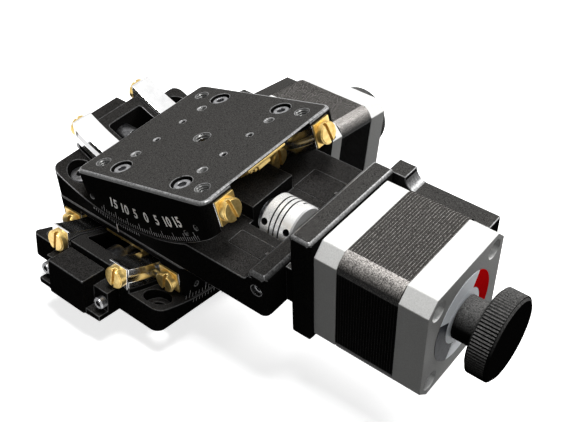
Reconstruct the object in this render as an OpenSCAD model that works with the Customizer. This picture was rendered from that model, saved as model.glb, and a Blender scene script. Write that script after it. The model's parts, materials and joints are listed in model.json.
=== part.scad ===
// Two-axis motorised goniometer: two arc stages, crossed and stacked, turning about one common point.
// World frame: origin under that point on the lower base's bottom face, +X towards the upper motor,
// +Y towards the lower motor, +Z up. Each stage is drawn in its own frame, whose origin is the common
// point: its motor lies towards +X and its arc axis is Y. Sizes are in millimetres.

/* [Pose] */
// Tilt of the upper platform at rest, motor side up, in degrees
upper_tilt = 15.5; // [-16:0.5:16]
// Tilt of the lower platform at rest, motor side up, in degrees
lower_tilt = 9.4; // [-11:0.1:11]

/* [Stages] */
// Height of the common point above the upper platform
upper_r = 50; // [46:1:56]
// Height of one stage
stage_h = 25; // [24:0.5:28]
// Side of the square platforms
stage_w = 65; // [62:1:70]
// Corner radius of a platform
platform_corner_r = 3; // [1:0.5:5]
// Rounding of a platform's top edge
platform_edge_r = 1.4; // [0.6:0.2:2]
// Thickness of the cheeks beside the rails
cheek_t = 3.85; // [3:0.05:4.2]
// Radial depth of a cheek below the platform's top
cheek_depth = 20.4; // [19.6:0.2:21]
// Radial depth of the platform's underside between the rails
plate_depth = 9.6; // [8.8:0.1:9.8]
// Least thickness of that plate, at its ends
plate_edge_t = 0.6; // [0.4:0.1:2]
// Gap between the moving cheek and the base below it
arc_gap = 0.4; // [0.3:0.1:0.8]

/* [Crossed roller guides] */
// Radial depth of the rails' inner face below the platform's top
rail_depth = 11.2; // [11:0.1:11.6]
// Radial height of a rail
rail_h = 7.7; // [7.2:0.1:8]
// Width of a rail
rail_w = 8.2; // [7:0.1:8.6]
// Gap between a fixed and a moving rail
rail_gap = 1.6; // [1.4:0.1:2]
// Diameter of a roller
roller_d = 3; // [2.6:0.1:3]
// Length of a roller
roller_len = 2.8; // [2.4:0.1:2.9]
// Distance between rollers along the arc
roller_pitch = 4.4; // [4.2:0.1:5.2]
// Rollers in each cage of the upper stage
upper_rollers = 10; // [6:1:11]
// Rollers in each cage of the lower stage
lower_rollers = 11; // [6:1:12]
// Thickness of a roller cage
cage_t = 0.8; // [0.6:0.1:1]
// Radial height of a roller cage
cage_h = 6; // [5.4:0.1:6.6]
// Clearance of the rollers in the rails' grooves
groove_gap = 0.05; // [0.02:0.01:0.1]
// Side of the square tab at a rail's end
tab_side = 8.8; // [8:0.1:9]
// Thickness of the tab
tab_t = 0.8; // [0.6:0.1:1.2]
// Head diameter of the brass end screws
end_head_d = 8; // [7:0.2:8.4]
// Head height of the brass end screws
end_head_h = 2.6; // [2:0.1:3]
// Thread diameter of the brass end screws
end_thread_d = 3; // [2.5:0.5:3.5]
// How far those screws reach into the rails
end_thread_len = 3.6; // [2.6:0.2:4]

/* [Worm drive] */
// Sideways offset of the worm and motor axis from the stage's middle
drive_offset = -2.5; // [-3.5:0.1:-1.5]
// Depth of the worm axis below the platform's top
worm_depth = 14.5; // [14.4:0.1:15]
// Module of the worm gear
gear_module = 0.8; // [0.7:0.05:0.9]
// Radial depth of the gear's pitch line below the platform's top
pitch_depth = 11.55; // [11.5:0.05:11.7]
// Tooth height outside the pitch line
addendum = 0.55; // [0.5:0.05:0.6]
// Tooth height inside the pitch line
dedendum = 0.75; // [0.7:0.05:0.8]
// Width of the toothed rib
rib_w = 6.4; // [5:0.2:7]
// Width of the gear segment's flange
flange_w = 18.2; // [16:0.2:18.4]
// Radial thickness of the flange
flange_t = 1.1; // [0.8:0.1:1.2]
// Length of the worm's thread
worm_len = 16; // [12:0.5:20]
// Diameter of the worm shaft
worm_shaft_d = 4; // [3:0.5:4]
// Outer diameter of the small worm bearing
small_bearing_d = 8; // [7:0.5:8]
// Width of the small worm bearing
small_bearing_w = 3; // [2.5:0.5:3]
// Outer diameter of the large worm bearing
large_bearing_d = 11; // [10:0.5:12]
// Width of the large worm bearing
large_bearing_w = 4; // [3:0.5:5]
// Radial running clearance of shafts
run_gap = 0.05; // [0.03:0.01:0.1]

/* [Coupling] */
// Outer diameter of the coupling
coupling_d = 18; // [16:0.5:18.4]
// Length of the coupling
coupling_len = 12.5; // [12:0.5:16]
// Width of the coupling's slits
slit_w = 0.5; // [0.4:0.1:0.7]
// Distance between two slits
slit_pitch = 1.7; // [1.5:0.1:2]

/* [Base] */
// Thickness of the base's floor
floor_t = 3; // [2.5:0.1:3.4]
// Depth of the side walls' top below the platform's top
wall_depth = 12; // [11:0.5:14]
// Thickness of the side walls
wall_t = 9.5; // [8:0.5:10]
// Radius of the rounded corners away from the motor
base_corner_r = 3.5; // [2:0.5:8]
// Thickness of the motor block at the base's end
block_t = 7.6; // [6:0.2:9]
// Depth of the motor block's top below the platform's top
block_depth = 7.5; // [6:0.5:9]
// Thickness of the end bar between the rails
bar_t = 5.5; // [4.5:0.5:6]
// Gap between the end bar and the swinging gear segment
bar_gap = 0.6; // [0.5:0.1:1.2]
// Distance between the corner holes, both ways
bolt_span = 50; // [48:0.5:50]
// Diameter of the corner holes' thread
bolt_d = 5; // [4:0.5:5]
// Diameter of a corner counterbore
pocket_d = 9.8; // [9:0.2:10]

/* [Limit switch housing] */
// Width of the housing
limit_w = 17.7; // [15:0.1:19]
// How far the housing stands out of the base
limit_len = 10.4; // [8:0.2:12]
// Depth of the housing's top below the platform's top
limit_depth = 10.5; // [10:0.1:12]
// Sideways offset of the housing from the stage's middle
limit_offset = 1.4; // [0:0.1:2]
// Width across the housing's two ears
limit_flange_w = 31; // [30:0.5:34]

/* [Motor] */
// Distance of the upper motor's front face from the common point
upper_motor_x = 79.8; // [77:0.1:84]
// Distance of the lower motor's front face from the common point
lower_motor_x = 73.5; // [72:0.1:82]
// Side of the square motor
motor_w = 42.3; // [39:0.1:43]
// Width of the bells' corner bevels
motor_bevel = 4.3; // [3:0.1:5]
// Corner radius of the laminated stack
stack_corner_r = 5.6; // [4:0.2:8]
// Thickness of the front bell
front_bell_t = 8.3; // [6:0.1:10]
// Length of the laminated stack
stack_len = 21.4; // [18:0.1:30]
// Thickness of the rear bell
rear_bell_t = 10; // [8:0.1:12]
// Distance between the motor's screws, both ways
motor_screw_span = 31; // [29:0.1:31]
// Diameter of the motor shaft
motor_shaft_d = 5; // [4:0.5:6]
// Diameter of the front spigot
spigot_d = 22; // [20:0.5:22]
// Height of the front spigot
spigot_h = 2; // [1.5:0.1:2.2]

/* [Motor bracket] */
// Thickness of the bracket's plate
plate_t = 8; // [6:0.1:9]
// Gap between the motor block and the bracket's plate
plate_gap = 3.8; // [3:0.1:6]
// Width of the bracket's plate
plate_w = 44.4; // [44:0.1:48]
// How far the plate reaches from the motor axis on the open side
plate_near = 23; // [21.5:0.1:24]
// Height of the plate above the motor axis
plate_up = 23; // [21.5:0.1:25]
// Depth of the plate below the motor axis
plate_down = 20; // [19:0.1:22]

// Width of the bracket's neck, which meets the motor block
neck_w = 40; // [34:0.5:41]
// Height of the neck above the motor axis
neck_up = 5; // [4:0.5:8]
// Depth of the neck below the motor axis
neck_down = 10; // [7:0.5:12]
// Bore for the motor shaft through the bracket
bracket_bore_d = 12; // [8:0.5:16]
// Bore for the motor shaft through the motor block
block_bore_d = 10; // [8:0.5:12]

/* [Connector box] */
// Thickness of the connector box
box_t = 7; // [6:0.1:9]
// How far the box runs back beside the motor
box_len = 34.4; // [30:0.1:38]
// Height of the box's top above the motor axis
box_up = 16.5; // [12:0.5:18]
// Height of the box's front ear above the motor axis
ear_up = 21; // [18:0.5:22]

/* [Knob] */
// Diameter of the knurled rim
knob_d = 28.4; // [24:0.2:40]
// Thickness of the knurled rim
knob_t = 7.6; // [6:0.2:9]
// Diameter of the knob's hub
hub_d = 14.6; // [12:0.2:18]
// Length of the knob's hub
hub_len = 8; // [6:0.5:12]
// Number of knurls round the rim
knurls = 84; // [60:2:100]

/* [Hidden] */

// Common point, stage radii and the rows of parts across a stage
lower_r = upper_r + stage_h;
common_h = lower_r + stage_h;
half = stage_w / 2;
cheek_y = half - cheek_t;
seat_gap = 0.05;
moving_rail_y = cheek_y - seat_gap - rail_w / 2;
fixed_rail_y = moving_rail_y - rail_w - rail_gap;
roller_y = moving_rail_y - rail_w / 2 - rail_gap / 2;
inner_w = 2 * (fixed_rail_y - rail_w / 2 - 0.2);
pocket_w = inner_w - 4.8;
groove_depth = (roller_d / 2 + groove_gap) * sqrt(2) - rail_gap / 2;
cut_h = 200;
arc_fn = 180;
bore_fn = 48;

// Colours
black = [0.07, 0.07, 0.075];
brass = [0.78, 0.62, 0.27];
steel = [0.72, 0.73, 0.75];
silver = [0.86, 0.86, 0.85];
dark_steel = [0.2, 0.2, 0.21];
lamination = [0.1, 0.1, 0.1];

// Places along the drive of a stage whose motor face is at x
function block_end(x) = x - plate_t - plate_gap;
function block_start(x) = block_end(x) - block_t;
function coupling_end(x) = block_start(x) - 0.4;
function coupling_start(x) = coupling_end(x) - coupling_len;
function housing_end(x) = coupling_start(x) - 2.8;

// Gear of a stage whose platform lies r below the common point
function teeth(r) = round(2 * (r + pitch_depth) / gear_module);
function pitch_r(r) = teeth(r) * gear_module / 2;
function worm_pitch_r(r) = r + worm_depth - pitch_r(r);
thread_lead = PI * gear_module;

// Height of a point at radius r, at x from the stage's middle
function drop(r, x) = -sqrt(r * r - x * x);
function swing_r(r) = pitch_r(r) + addendum + bar_gap;
function bar_top(r) = drop(swing_r(r), half - bar_t + 0.8);
function base_bottom(r) = -(r + stage_h);

// Frames
module lower_frame() translate([0, 0, common_h]) rotate([0, 0, 90]) children();
module lower_tilted(share = 1) lower_frame() rotate([0, -lower_tilt * share, 0]) children();
module upper_frame() translate([0, 0, common_h]) rotate([lower_tilt, 0, 0]) children();
module upper_tilted(share = 1) upper_frame() rotate([0, -upper_tilt * share, 0]) children();
module drive_frame(r, x = 0) translate([x, drive_offset, -(r + worm_depth)]) children();

// General shapes
module cyl_x(d, x0, x1, fn = bore_fn)
    translate([x0, 0, 0]) rotate([0, 90, 0]) cylinder(d = d, h = x1 - x0, $fn = fn);

module cyl_y(r, y0, y1, fn = arc_fn)
    translate([0, y1, 0]) rotate([90, 0, 0]) cylinder(r = r, h = y1 - y0, $fn = fn);

module box(x, y, z) translate([x[0], y[0], z[0]]) cube([x[1] - x[0], y[1] - y[0], z[1] - z[0]]);

// Upright prism with rounded corners
module post(x, y, z, r)
{
    box([x[0] + r, x[1] - r], y, z);
    box(x, [y[0] + r, y[1] - r], z);
    for (px = [x[0] + r, x[1] - r], py = [y[0] + r, y[1] - r])
        translate([px, py, z[0]]) cylinder(r = r, h = z[1] - z[0], $fn = bore_fn);
}

// The same with its top edge rounded by e, where e is at most the corner radius
module crowned(x, y, z, r, e)
{
    post(x, y, [z[0], z[1] - e], r);
    post([x[0] + e, x[1] - e], [y[0] + e, y[1] - e], [z[1] - e, z[1]], r - e + 0.01);
    for (py = [y[0] + e, y[1] - e])
        translate([0, py, z[1] - e]) cyl_x(2 * e, x[0] + r, x[1] - r);
    for (px = [x[0] + e, x[1] - e])
        translate([px, 0, z[1] - e]) cyl_y(e, y[0] + r, y[1] - r, bore_fn);
    for (px = [x[0] + r, x[1] - r], py = [y[0] + r, y[1] - r])
        translate([px, py, z[1] - e]) rotate_extrude($fn = bore_fn) intersection() {
            translate([r - e, 0]) circle(r = e, $fn = bore_fn);
            square([r, e]);
        }
}

// Corner points of a rounded rectangle, and the whole of it
function corner(u, v, r, from) = [
    for (i = [0:round_steps]) let(a = from + i * 90 / round_steps) [u + r * cos(a), v + r * sin(a)]
];
function rounded(u, v, r) = concat(
    corner(u[1] - r, v[1] - r, r, 0), corner(u[0] + r, v[1] - r, r, 90),
    corner(u[0] + r, v[0] + r, r, 180), corner(u[1] - r, v[0] + r, r, 270)
);
round_steps = 4;

// Box with every edge rounded by r
module soft_box(x, y, z, r) intersection() {
    translate([0, 0, z[0]]) linear_extrude(z[1] - z[0]) polygon(rounded(x, y, r));
    translate([x[0], 0, 0]) rotate([90, 0, 90]) linear_extrude(x[1] - x[0]) polygon(rounded(y, z, r));
    translate([0, y[1], 0]) rotate([90, 0, 0]) linear_extrude(y[1] - y[0]) polygon(rounded(x, z, r));
}

// Ring about the arc axis with a section given as radius and y
module ring_y(section) rotate([-90, 0, 0]) rotate_extrude($fn = arc_fn) polygon(section);

// Part of a ring that lies under the common point, within x of the middle and below top
module under(x, deep, top = 0) intersection() {
    children();
    box([-x, x], [-cut_h / 2, cut_h / 2], [-deep, -top]);
}

// The four corner bolts' places
module corner_places() for (sx = [-1, 1], sy = [-1, 1])
    translate([sx * bolt_span / 2, sy * bolt_span / 2, 0]) children();

// Socket cap screw, head standing on z = 0 and shank going down
module cap_screw(thread_d, len)
{
    head_d = 1.7 * thread_d;
    difference() {
        union() {
            cylinder(d = head_d, h = thread_d - 0.3, $fn = bore_fn);
            cylinder(d = head_d - 0.6, h = thread_d, $fn = bore_fn);
        }
        translate([0, 0, thread_d * 0.45]) cylinder(d = thread_d * 0.92, h = thread_d, $fn = 6);
    }
    translate([0, 0, -len]) cylinder(d = thread_d - 0.1, h = len, $fn = bore_fn);
}

// Slotted cheese-head screw, head standing out towards +x from x = 0
module slotted_screw(turn) rotate([turn, 0, 0]) difference() {
    union() {
        cyl_x(end_head_d, 0, end_head_h - 0.4);
        cyl_x(end_head_d - 0.8, 0, end_head_h);
        cyl_x(end_thread_d - 0.1, -tab_t - end_thread_len, 0.1);
    }
    box([end_head_h - 1.2, end_head_h + 1], [-0.55, 0.55], [-end_head_d, end_head_d]);
}

// Both ends of both rails of a pair, each with its outer side towards +x
module rail_ends(y) for (e = [0, 1], s = [-1, 1]) mirror([e, 0, 0]) translate([half, s * y, 0]) children();

// Stage pieces
// Base: a tub with arc-shaped walls, a pedestal for the rails, and a block for the motor
module stage_base(r, x)
{
    zb = base_bottom(r);
    trough = r + cheek_depth + arc_gap;
    seat = r + rail_depth + rail_h + seat_gap;
    ped_y = fixed_rail_y + rail_w / 2;
    difference() {
        union() {
            difference() {
                base_outline(r, x);
                cyl_y(trough, -cut_h / 2, cut_h / 2);
            }
            difference() {
                box([-half, half], [-ped_y, ped_y], [zb, -(r + rail_depth - 2)]);
                cyl_y(seat, -cut_h / 2, cut_h / 2);
            }
            difference() {
                box([-half, housing_end(x)], [-inner_w / 2, inner_w / 2], [zb, bar_top(r)]);
                cyl_y(swing_r(r), -cut_h / 2, cut_h / 2);
            }
        }
        worm_pocket(r);
        coupling_bay(r, x);
        base_holes(r, x);
    }
}

// Outer shape of a base before the arc is cut
module base_outline(r, x)
{
    zb = base_bottom(r);
    top = -(r + wall_depth);
    step_r = wall_depth - block_depth - block_edge_r;
    post([-half, half], [-half, half], [zb, top], base_corner_r);
    box([0, block_start(x) + block_edge_r], [-half, half], [zb, top]);
    intersection() {
        soft_box([block_start(x), block_end(x)], [-half, half], [zb - 9, -(r + block_depth)], block_edge_r);
        box([0, cut_h], [-half, half], [zb, 0]);
    }
    // Curved step from the walls up to the motor block
    difference() {
        box([block_start(x) - step_r, block_start(x) + block_edge_r], [-half, half], [top - 1, top + step_r]);
        translate([block_start(x) - step_r, 0, top + step_r]) cyl_y(step_r, -half - 1, half + 1, bore_fn);
    }
}
block_edge_r = 2.4;

// Slot in which the worm and the gear segment turn
module worm_pocket(r)
    post([bar_t - half, half - bar_t], [-pocket_w / 2, pocket_w / 2], [base_bottom(r) + floor_t, 0], 1);

// Slot for the coupling, with a pocket on either side of it
module coupling_bay(r, x)
{
    y_near = drive_offset - slot_w / 2;
    y_far = drive_offset + slot_w / 2;
    box([housing_end(x), block_start(x)], [y_near, y_far], [-cut_h, 0]);
    for (y = [[wall_t - half, y_near - slot_rib], [y_far + slot_rib, half - wall_t]])
        post([housing_end(x), block_start(x)], y, [base_bottom(r) + floor_t, 0], 0.6);
}
slot_w = coupling_d + 1.6;
slot_rib = 4;
// Places of the bracket's screws across the stage, in the middle of those pockets
bracket_screw_y = [
    for (s = [-1, 1]) (drive_offset + s * (slot_w / 2 + slot_rib + half - wall_t)) / 2
];
bracket_screw_d = 3;

module base_holes(r, x)
{
    corner_places() translate([0, 0, base_bottom(r)]) {
        translate([0, 0, -1]) cylinder(d = bolt_d + 0.5, h = 30, $fn = bore_fn);
        translate([0, 0, floor_t]) cylinder(d = pocket_d, h = 30, $fn = bore_fn);
    }
    drive_frame(r) {
        cyl_x(worm_shaft_d + 2, 0, housing_end(x) + 1);
        cyl_x(large_bearing_d + 2 * seat_gap, housing_end(x) - large_bearing_w - 1, housing_end(x) + 1);
        cyl_x(block_bore_d, block_start(x) - 1, block_end(x) + 1);
    }
    bracket_screw_places(r) cyl_x(bracket_screw_d + 0.3, block_start(x) - 1, block_end(x) + 1);
    // Threaded hole in each side of the motor block
    for (s = [0, 1]) mirror([0, s, 0]) translate([block_start(x) + block_t / 2, 0, -(r + worm_depth)])
        cyl_y(2, half - 6, half + 1, bore_fn);
    limit_screw_places(r) cyl_x(2.6, -1, 8);
}

module bracket_screw_places(r) for (y = bracket_screw_y) translate([0, y, -(r + worm_depth)]) children();

// Fixed rails, on the base's pedestal, with their grooves outwards
module base_rails(r) difference() {
    under(half, r + stage_h) for (s = [-1, 1]) rail_ring(r, s * fixed_rail_y, s);
    rail_ends(fixed_rail_y) end_screw_place(r) cyl_x(end_thread_d, -end_thread_len - 0.6, 1);
}

// Moving rails, under the platform, with their grooves inwards
module platform_rails(r) difference() {
    under(half, r + stage_h) for (s = [-1, 1]) rail_ring(r, s * moving_rail_y, -s);
    rail_ends(moving_rail_y) end_screw_place(r) cyl_x(end_thread_d, -end_thread_len - 0.6, 1);
    cap_places() translate([0, 0, -(r + rail_depth + 5)])
        cylinder(d = cap_thread - 0.3, h = 20, $fn = bore_fn);
    // Room for the tips of screws in the platform's corner holes
    corner_places() translate([0, 0, -(r + relief_depth)])
        cylinder(d = bolt_d + 0.4, h = relief_depth, $fn = bore_fn);
}
relief_depth = 7.8;

// One whole ring of rail section; side tells which way its groove faces
module rail_ring(r, y, side)
{
    r0 = r + rail_depth;
    r1 = r0 + rail_h;
    rm = (r0 + r1) / 2;
    w = rail_w / 2;
    g = groove_depth;
    ring_y([
        [r0, y - side * w], [r1, y - side * w], [r1, y + side * w],
        [rm + g, y + side * w], [rm, y + side * (w - g)], [rm - g, y + side * w], [r0, y + side * w]
    ]);
}

module end_screw_place(r) translate([0, 0, drop(r + rail_depth + rail_h / 2, half)]) children();

module rail_tabs(r, y) rail_ends(y) {
    zc = drop(r + rail_depth + rail_h / 2 - 0.1, half);
    difference() {
        box([0, tab_t], [-tab_side / 2 + 0.3, tab_side / 2 - 0.3], [zc - tab_side / 2, zc + tab_side / 2]);
        end_screw_place(r) cyl_x(end_thread_d + 0.3, -1, 2);
    }
}

module rail_screws(r, y) rail_ends(y) end_screw_place(r) translate([tab_t, 0, 0]) slotted_screw(y / 2);

// Roller cages: thin arc strips with a window for each roller
module roller_cages(r, n)
{
    rm = r + rail_depth + rail_h / 2;
    step = asin(roller_pitch / rm);
    for (s = [-1, 1]) difference() {
        intersection() {
            ring_y([
                [rm - cage_h / 2, s * roller_y - cage_t / 2], [rm + cage_h / 2, s * roller_y - cage_t / 2],
                [rm + cage_h / 2, s * roller_y + cage_t / 2], [rm - cage_h / 2, s * roller_y + cage_t / 2]
            ]);
            wedge(n * step / 2, r + stage_h);
        }
        for (i = [0:n - 1]) rotate([0, (i - (n - 1) / 2) * step, 0])
            box([-roller_d / 2 - 0.15, roller_d / 2 + 0.15], [s * roller_y - 2, s * roller_y + 2],
                [-rm - cage_h / 2 + 0.7, -rm + cage_h / 2 - 0.7]);
    }
}

// Rollers whose axes lean to one side and the other in turn
module rollers(r, n)
{
    rm = r + rail_depth + rail_h / 2;
    step = asin(roller_pitch / rm);
    for (s = [-1, 1], i = [0:n - 1]) rotate([0, (i - (n - 1) / 2) * step, 0])
        translate([0, s * roller_y, -rm]) rotate([i % 2 == 0 ? 45 : -45, 0, 0])
            cylinder(d = roller_d, h = roller_len, center = true, $fn = 24);
}

// Downward wedge of half angle a, made of two half spaces
module wedge(a, deep) intersection() {
    rotate([0, a, 0]) box([0, 2 * deep], [-cut_h / 2, cut_h / 2], [-2 * deep, 0]);
    rotate([0, -a, 0]) box([-2 * deep, 0], [-cut_h / 2, cut_h / 2], [-2 * deep, 0]);
}

// Platform: a plate with an arc-shaped underside between two cheeks
module stage_platform(r)
{
    seat = r + rail_depth - seat_gap;
    rail_in = moving_rail_y - rail_w / 2 - 0.3;
    difference() {
        intersection() {
            crowned([-half, half], [-half, half], [-(r + cheek_depth), -r],
                platform_corner_r, platform_edge_r);
            union() {
                cyl_y(r + plate_depth, -rail_in, rail_in);
                box([-half, half], [-rail_in, rail_in], [-(r + plate_edge_t), -r]);
                for (s = [0, 1]) mirror([0, s, 0]) {
                    cyl_y(seat, rail_in, cheek_y);
                    cyl_y(r + cheek_depth, cheek_y, half);
                }
            }
        }
        platform_holes(r);
    }
}

module cap_places() for (sx = [-1, 1], sy = [-1, 1])
    translate([sx * cap_x, sy * cap_y, 0]) children();
cap_x = 15.2;
cap_y = 25;
cap_thread = 4;
cap_sink = 4.3;

module platform_holes(r) translate([0, 0, -r]) {
    corner_places() translate([0, 0, -12]) cylinder(d = bolt_d, h = 13, $fn = bore_fn);
    for (sx = [-1, 1], sy = [-1, 1]) {
        translate([sx * 16.8, sy * 16.8, -6]) threaded_hole(2.6, 6);
        translate([sx * 16.8, sy * 6.6, -4]) threaded_hole(1.6, 4);
    }
    translate([0, 0, -8]) cylinder(d = 6, h = 9, $fn = bore_fn);
    cap_places() {
        translate([0, 0, -cap_sink]) cylinder(d = 7.4, h = cap_sink + 1, $fn = bore_fn);
        translate([0, 0, -20]) cylinder(d = cap_thread + 0.4, h = 20, $fn = bore_fn);
    }
    // Small set-screw holes in the cheeks
    for (s = [0, 1], p = [[19.2, -13.9], [25.1, -10.4], [-28.2, -10.4]]) mirror([0, s, 0])
        translate([p[0], 0, p[1]]) cyl_y(0.9, half - 1.4, half + 1, 24);
}

// Hole with a small countersink, standing on its floor
module threaded_hole(d, deep)
{
    cylinder(d = d, h = deep + 1, $fn = bore_fn);
    translate([0, 0, deep - 0.4]) cylinder(d1 = d, d2 = d + 1.8, h = 0.9, $fn = bore_fn);
}

module cap_screws(r) cap_places() translate([0, 0, -(r + cap_sink)]) cap_screw(cap_thread - 0.4, 8);

// Gear segment: a curved flange with slanted teeth on its rib
module gear_segment(r)
{
    rp = pitch_r(r);
    r0 = r + plate_depth + seat_gap;
    y0 = drive_offset;
    n = teeth(r);
    lead_angle = atan(thread_lead / (2 * PI * worm_pitch_r(r)));
    last = floor(asin((half - 0.4) / (rp + addendum)) / (360 / n) - 0.5);
    under(half, r + stage_h, r + plate_edge_t + seat_gap) {
        difference() {
            cyl_y(r0 + flange_t, y0 - flange_w / 2, y0 + flange_w / 2);
            cyl_y(r0, -half, half);
        }
        difference() {
            cyl_y(rp - dedendum, y0 - rib_w / 2, y0 + rib_w / 2);
            cyl_y(r0, -half, half);
        }
        intersection() {
            for (i = [-last - 1:last]) rotate([0, -(i + 0.5) * 360 / n, 0])
                translate([0, y0, -rp]) rotate([0, 0, lead_angle]) tooth();
            box([-half, half], [y0 - rib_w / 2, y0 + rib_w / 2], [-rp - addendum - 1, 0]);
        }
    }
}

// One tooth, pointing down from the pitch line
module tooth()
{
    p = thread_lead;
    translate([0, rib_w, 0]) rotate([90, 0, 0]) linear_extrude(2 * rib_w) polygon([
        [-0.28 * p, dedendum + 0.2], [0.28 * p, dedendum + 0.2], [0.23 * p, 0],
        [0.13 * p, -addendum], [-0.13 * p, -addendum], [-0.23 * p, 0]
    ]);
}

// Worm: a right-hand thread on a stepped shaft, turned to the tilt of the stage
module worm(r, x, tilt)
{
    wp = worm_pitch_r(r);
    root = wp - dedendum;
    drive_frame(r) rotate([-tilt * teeth(r), 0, 0]) {
        thread(root - 0.02, wp + addendum);
        cyl_x(2 * root, -worm_len / 2 - 2, worm_len / 2 + 2);
        cyl_x(worm_shaft_d, bearing_block_x + 1, coupling_start(x) + 5);
        cyl_x(worm_shaft_d + 2.6, housing_end(x) + 0.3, housing_end(x) + 2.2);
    }
}

// Thread along x whose crest faces up at the middle
module thread(root, tip)
{
    turns = worm_len / thread_lead;
    steps = 12;
    rotate([90, 0, 90]) linear_extrude(worm_len, center = true, twist = -360 * turns,
        slices = round(turns * steps)) rotate(90 - 180 * turns)
        polygon([for (i = [0:steps - 1]) let(a = i * 360 / steps - 180)
            tooth_r(a, root, tip) * [cos(a), sin(a)]]);
}

// Radius of the thread's outline at an angle from its crest
function tooth_r(a, root, tip) =
    abs(a) < 50 ? tip : abs(a) > 95 ? root : tip + (root - tip) * (abs(a) - 50) / 45;

// Block that holds the worm's small bearing
module bearing_block(r) drive_frame(r) difference() {
    x0 = bearing_block_x;
    x1 = x0 + bearing_block_t;
    union() {
        box([x0, x1], [-small_bearing_d / 2 - 0.8, small_bearing_d / 2 + 0.8],
            [floor_t + 0.02 - stage_h + worm_depth, 0]);
        cyl_x(small_bearing_d + 1.6, x0, x1);
    }
    cyl_x(small_bearing_d + 2 * seat_gap, x1 - small_bearing_w, x1 + 1);
    cyl_x(worm_shaft_d + 1, x0 + 0.6, x1 + 1);
}

bearing_block_x = bar_t - half + 0.25;
bearing_block_t = 6;

// Ball bearings of the worm, each with its race grooves
module worm_bearings(r, x) drive_frame(r) {
    bearing(bearing_block_x + bearing_block_t - small_bearing_w, small_bearing_w, small_bearing_d);
    bearing(housing_end(x) - large_bearing_w - 0.5, large_bearing_w, large_bearing_d);
}

module bearing(x0, w, d)
{
    bore = worm_shaft_d + 2 * run_gap;
    wall = (d - bore) / 2;
    translate([x0, 0, 0]) rotate([0, 90, 0]) rotate_extrude($fn = bore_fn) polygon([
        [bore / 2, 0], [bore / 2 + 0.3 * wall, 0], [bore / 2 + 0.3 * wall, 0.25],
        [d / 2 - 0.3 * wall, 0.25], [d / 2 - 0.3 * wall, 0], [d / 2, 0],
        [d / 2, w], [d / 2 - 0.3 * wall, w], [d / 2 - 0.3 * wall, w - 0.25],
        [bore / 2 + 0.3 * wall, w - 0.25], [bore / 2 + 0.3 * wall, w], [bore / 2, w]
    ]);
}

// Coupling: two clamping hubs joined by a slit middle
module coupling(r, x, tilt) drive_frame(r) rotate([-tilt * teeth(r), 0, 0]) {
    x0 = coupling_start(x);
    x1 = coupling_end(x);
    mid = (x0 + x1) / 2;
    difference() {
        cyl_x(coupling_d, x0, x1);
        cyl_x(worm_shaft_d + 0.1, x0 - 1, mid + 1);
        cyl_x(motor_shaft_d + 0.1, mid - 0.1, x1 + 1);
        for (i = [-1, 0, 1]) rotate([i * 120, 0, 0]) translate([mid + i * slit_pitch, 0, 0])
            box([-slit_w / 2, slit_w / 2], [-coupling_d * 0.28, coupling_d], [-coupling_d, coupling_d]);
        for (hx = [x0 + 2.6, x1 - 2.6], a = [0, 90]) translate([hx, 0, 0]) rotate([a + 20, 0, 0])
            cylinder(d = 2.6, h = coupling_d, $fn = 24);
    }
}

// Limit switch housing on the base's free end
module limit_housing(r)
{
    zb = base_bottom(r);
    x1 = -half - 0.02;
    ear = limit_flange_w / 2;
    translate([0, limit_offset, 0]) difference() {
        union() {
            soft_box([x1 - limit_len, x1], [-limit_w / 2, limit_w / 2], [zb + 0.3, -(r + limit_depth)], 0.6);
            box([x1 - 5.5, x1], [-ear, ear], [zb + 0.3, zb + 10.3]);
            box([x1 - limit_len + 1, x1], [-ear, ear], [zb + 0.3, zb + 2.5]);
        }
        for (s = [-1, 1]) translate([x1, s * limit_screw_y, zb + limit_screw_z]) cyl_x(3.3, -20, 1);
    }
}
limit_screw_y = 13.6;
limit_screw_z = 6.4;

module limit_screw_places(r) for (s = [-1, 1])
    translate([-half, limit_offset + s * limit_screw_y, base_bottom(r) + limit_screw_z]) children();

// Screws of a base: the limit housing's, the bracket's, the side plugs and, on the upper stage, its bolts
module base_fasteners(r, x, bolted)
{
    limit_screw_places(r) translate([-5.55, 0, 0]) rotate([0, -90, 0]) cap_screw(2.6, 11);
    bracket_screw_places(r) translate([block_start(x) - 0.02, 0, 0]) rotate([0, -90, 0])
        cap_screw(bracket_screw_d, block_t + plate_gap + plate_t / 2 - 0.5);
    for (s = [0, 1]) mirror([0, s, 0]) translate([block_start(x) + block_t / 2, half - 1, -(r + worm_depth)])
        rotate([90, 0, 0]) difference() {
            cylinder(d = 3.9, h = 4.5, $fn = bore_fn);
            translate([0, 0, -1]) cylinder(d = 2, h = 2.5, $fn = 6);
        }
    if (bolted) corner_places() translate([0, 0, base_bottom(r) + floor_t + 0.02]) cap_screw(bolt_d, 8);
}

// Motor bracket: an upright plate with a neck that meets the motor block
module motor_bracket(r, x) difference() {
    drive_frame(r, x) union() {
        soft_box([-plate_t, 0], [-plate_near, plate_w - plate_near], [-plate_down, plate_up], 1.8);
        box([-plate_t - plate_gap + 0.02, -plate_t + 1], [-neck_w / 2, neck_w / 2], [-neck_down, neck_up]);
    }
    drive_frame(r, x) {
        cyl_x(spigot_d + 0.2, -spigot_h - 0.2, 1);
        cyl_x(bracket_bore_d, -20, 1);
        motor_screw_places() {
            cyl_x(3.3, -20, 1);
            cyl_x(6.2, -20, -plate_t + 3.4);
        }
    }
    bracket_screw_places(r) cyl_x(bracket_screw_d, x - 20, x - plate_t / 2);
}

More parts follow.
